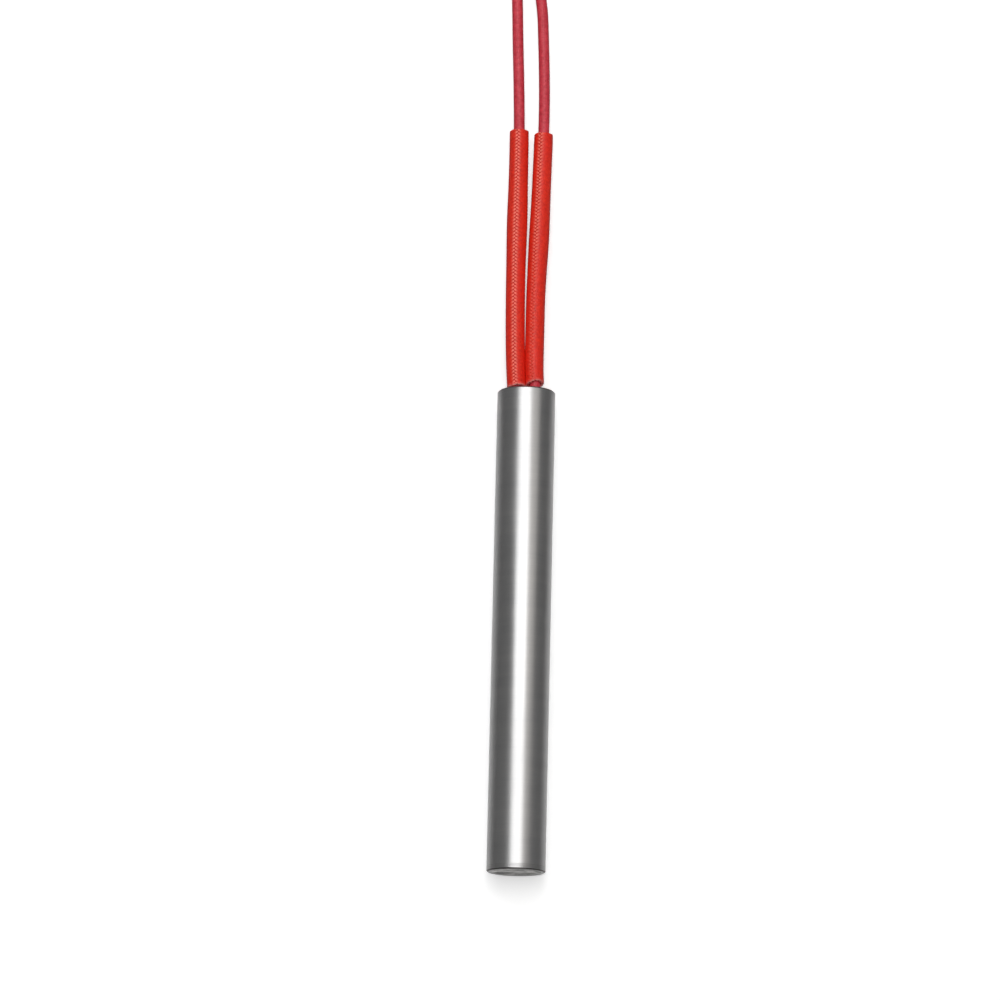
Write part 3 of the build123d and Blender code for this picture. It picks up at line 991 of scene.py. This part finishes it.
def tie_tail():
    """The cut tail, toothed on top, that comes out of the head."""
    start = TIE_HEAD_X + TIE_HEAD[0] / 2 - TIE_TAIL_SUNK
    half = TIE_WIDTH / 2 - TIE_TAIL_INSET
    low = TIE_TOP + TIE_TAIL_GAP
    high = low + TIE_THICKNESS - TIE_TOOTH_HEIGHT - 2 * TIE_TAIL_GAP
    outline = [(start, low), (start, high)]
    for tooth in range(int(TIE_TAIL / TIE_TOOTH)):
        at = start + tooth * TIE_TOOTH
        outline.append((at + TIE_TOOTH_TIP * TIE_TOOTH, high + TIE_TOOTH_HEIGHT))
        outline.append((at + TIE_TOOTH_FOOT * TIE_TOOTH, high))
    outline += [(start + TIE_TAIL, high), (start + TIE_TAIL, low)]
    count = len(outline)
    points = [(x, HANK_Y + side * half, z) for side in (-1, 1) for x, z in outline]
    faces = [(i, (i + 1) % count, count + (i + 1) % count, count + i) for i in range(count)]
    faces += [tuple(reversed(range(count))), tuple(range(count, 2 * count))]
    return points, faces


def hank_tie():
    """The cable tie: band, head and tail."""
    points, faces = tie_band()
    tail_points, tail_faces = tie_tail()
    faces += [tuple(i + len(points) for i in face) for face in tail_faces]
    points += tail_points
    piece = new_piece("cable_tie", points, faces, "tie_plastic", ["hank_tie"])
    work = bmesh.new()
    work.from_mesh(piece.data)
    tie_head(work)
    bmesh.ops.recalc_face_normals(work, faces=work.faces)
    work.to_mesh(piece.data)
    work.free()
    piece.data.shade_smooth()
    piece.data.set_sharp_from_angle(angle=TIE_SHARP_ANGLE)
    return piece


# The whole object

sheath()
end_disc()

left_path = Path(route_line("left_route", LEFT_ROUTE + hank_route(LEFT_LEVEL)))
right_path = Path(route_line("right_route", RIGHT_ROUTE + hank_route(RIGHT_LEVEL)))
lead_left = lead("left_lead_cover", left_path, "lead_left")
lead_right = lead("right_lead_cover", right_path, "lead_right")
sleeve_left = sleeve("left_braided_sleeve", "sleeve_left", left_path, LEFT_SLEEVE)
sleeve_right = sleeve("right_braided_sleeve", "sleeve_right", right_path, RIGHT_SLEEVE)
tip_left = bare_tip("left_tip_strands", "bare_tip_left", LEFT_LEVEL)
tip_right = bare_tip("right_tip_strands", "bare_tip_right", RIGHT_LEVEL)
tie = hank_tie()

# Studio

WHITE = (1.0, 1.0, 1.0)
WARM_WHITE = (1.0, 0.96, 0.91)
AIM = Vector((0, 0.02, 0))
FLOOR_SIZE = 6.0
FLOOR_GREY = 0.5
FLOOR_SEEN = 0.78
FLOOR_GLOW = 0.50
WORLD_DIFFUSE = 0.19
WORLD_GLOSSY = 0.15

# A painted pool of light on the floor as the steel shows it: how pale it is right beside
# the sheath and further off, how far it takes to fade, and how many times faster it fades past the
# mouth
MIRRORED_NEAR = 1.0
MIRRORED_FAR = 0.17
MIRRORED_FADE = 0.011
MOUTH_FADE = 4.0


def seen_directly(s, ray):
    """1 for the camera's own rays and those through glass, and 0 for the others."""
    return s.math("MAXIMUM", ray.outputs["Is Camera Ray"], ray.outputs["Is Transmission Ray"])


def floor_material():
    """White to the camera but for the heater's shadow, and in the steel a painted pool of light
    beside the heater.
    """
    material = bpy.data.materials.new("floor")
    material.use_nodes = True
    material.node_tree.nodes.clear()
    s = Shader(material.node_tree)
    ray = s.add("LightPath")
    seen = seen_directly(s, ray)
    place = s.add("NewGeometry").outputs["Position"]
    at = s.add("SeparateXYZ", {"Vector": place})
    beside = s.math("SUBTRACT", s.math("ABSOLUTE", at.outputs["X"]), SHEATH_R)
    behind = s.math("MULTIPLY", s.math("SUBTRACT", at.outputs["Y"], MOUTH_Y), MOUTH_FADE)
    before = s.math("SUBTRACT", CLOSED_Y, at.outputs["Y"])
    beyond = s.add("CombineXYZ", {"X": beside, "Y": s.math("MAXIMUM", behind, before)})
    away = s.vector("LENGTH", s.vector("MAXIMUM", beyond.outputs[0]))
    # Painted pool of light: the floor as the steel shows it is paler near the heater.
    near = s.math("EXPONENT", s.math("DIVIDE", away, -MIRRORED_FADE))
    mirrored = s.remap(near, 0.0, 1.0, MIRRORED_FAR, MIRRORED_NEAR)
    grey = s.remap(ray.outputs["Is Glossy Ray"], 0.0, 1.0, FLOOR_GREY, mirrored)
    grey = s.remap(seen, 0.0, 1.0, grey, FLOOR_SEEN)
    matt = s.add("BsdfDiffuse", {"Color": grey})
    strength = s.math("MULTIPLY", seen, FLOOR_GLOW)
    glow = s.add("Emission", {"Color": rgb(*WHITE), "Strength": strength})
    both = s.add("AddShader", {0: matt.outputs[0], 1: glow.outputs[0]})
    s.add("OutputMaterial", {"Surface": both.outputs[0]})
    return material


def floor():
    """The surface that the heater lies on."""
    half = FLOOR_SIZE / 2
    corners = [(-half, -half, 0), (half, -half, 0), (half, half, 0), (-half, half, 0)]
    mesh = bpy.data.meshes.new("floor")
    mesh.from_pydata(corners, [], [(0, 1, 2, 3)])
    mesh.materials.append(floor_material())
    plane = bpy.data.objects.new("floor", mesh)
    bpy.context.scene.collection.objects.link(plane)


def softbox(name, radiance, centre, size, colour=WHITE, mirrored=True, lights=True):
    """A rectangular lamp of a given radiance that faces the heater.

    mirrored is whether shiny surfaces show it, and lights whether matt ones get its light.
    """
    light = bpy.data.lights.new(name, "AREA")
    light.shape = "RECTANGLE"
    light.size, light.size_y = size
    light.energy = radiance * math.pi * size[0] * size[1]
    light.color = colour
    lamp = bpy.data.objects.new(name, light)
    lamp.location = centre
    towards = AIM - Vector(centre)
    lamp.rotation_euler = towards.to_track_quat("-Z", "Y").to_euler()
    lamp.visible_camera = False
    lamp.visible_glossy, lamp.visible_diffuse = mirrored, lights
    bpy.context.scene.collection.objects.link(lamp)


def world():
    """White behind the object, and dim round it as seen in the steel."""
    scene_world = bpy.data.worlds.new("studio")
    bpy.context.scene.world = scene_world
    scene_world.use_nodes = True
    scene_world.node_tree.nodes.clear()
    s = Shader(scene_world.node_tree)
    ray = s.add("LightPath")
    seen = seen_directly(s, ray)
    dim = s.remap(ray.outputs["Is Glossy Ray"], 0.0, 1.0, WORLD_DIFFUSE, WORLD_GLOSSY)
    strength = s.math("MAXIMUM", seen, dim)
    light = s.add("Background", {"Color": rgb(*WHITE), "Strength": strength})
    s.add("OutputWorld", {"Surface": light.outputs[0]})


# The camera that took the photograph
FOCAL_PIXELS = 4400.0
PHOTO_PIXELS = 1000.0
SENSOR = 36.0
CLIP_NEAR, CLIP_FAR = 0.05, 50.0
TARGET = Vector((-0.00497, 0.02706, 0.006))
DISTANCE = 0.90655
ELEVATION = math.radians(77.57)
ROLL = math.radians(1.34)


def camera():
    """The photograph's view: from above and a little before the closed end."""
    lens = bpy.data.cameras.new("camera")
    lens.sensor_fit = "HORIZONTAL"
    lens.sensor_width = SENSOR
    lens.lens = FOCAL_PIXELS / PHOTO_PIXELS * SENSOR
    lens.clip_start, lens.clip_end = CLIP_NEAR, CLIP_FAR
    eye = bpy.data.objects.new("camera", lens)
    bpy.context.scene.collection.objects.link(eye)
    ahead = Vector((0, math.cos(ELEVATION), -math.sin(ELEVATION)))
    right = Vector((1, 0, 0))
    up = right.cross(ahead)
    rolled_right = math.cos(ROLL) * right + math.sin(ROLL) * up
    rolled_up = rolled_right.cross(ahead)
    turn = Matrix((rolled_right, rolled_up, -ahead)).transposed()
    eye.matrix_world = Matrix.Translation(TARGET - DISTANCE * ahead) @ turn.to_4x4()
    bpy.context.scene.camera = eye


floor()
softbox("overhead", 1.9, centre=(-0.125, 0.46, 1.2), size=(1.02, 1.4))
softbox("right_fill", 0.75, centre=(0.60, 0.30, 1.05), size=(0.38, 1.1), colour=WARM_WHITE)
softbox("top", 5.3, centre=(0.0, 0.14, 1.1), size=(0.18, 0.9), mirrored=False)
softbox("front_glint", 1.0, centre=(0.10, -1.30, 0.65), size=(0.8, 0.8), lights=False)
softbox("back_glint", 1.2, centre=(-0.15, 1.45, 0.50), size=(0.9, 0.5), lights=False)
world()
camera()
bpy.context.scene.view_settings.view_transform = "Standard"
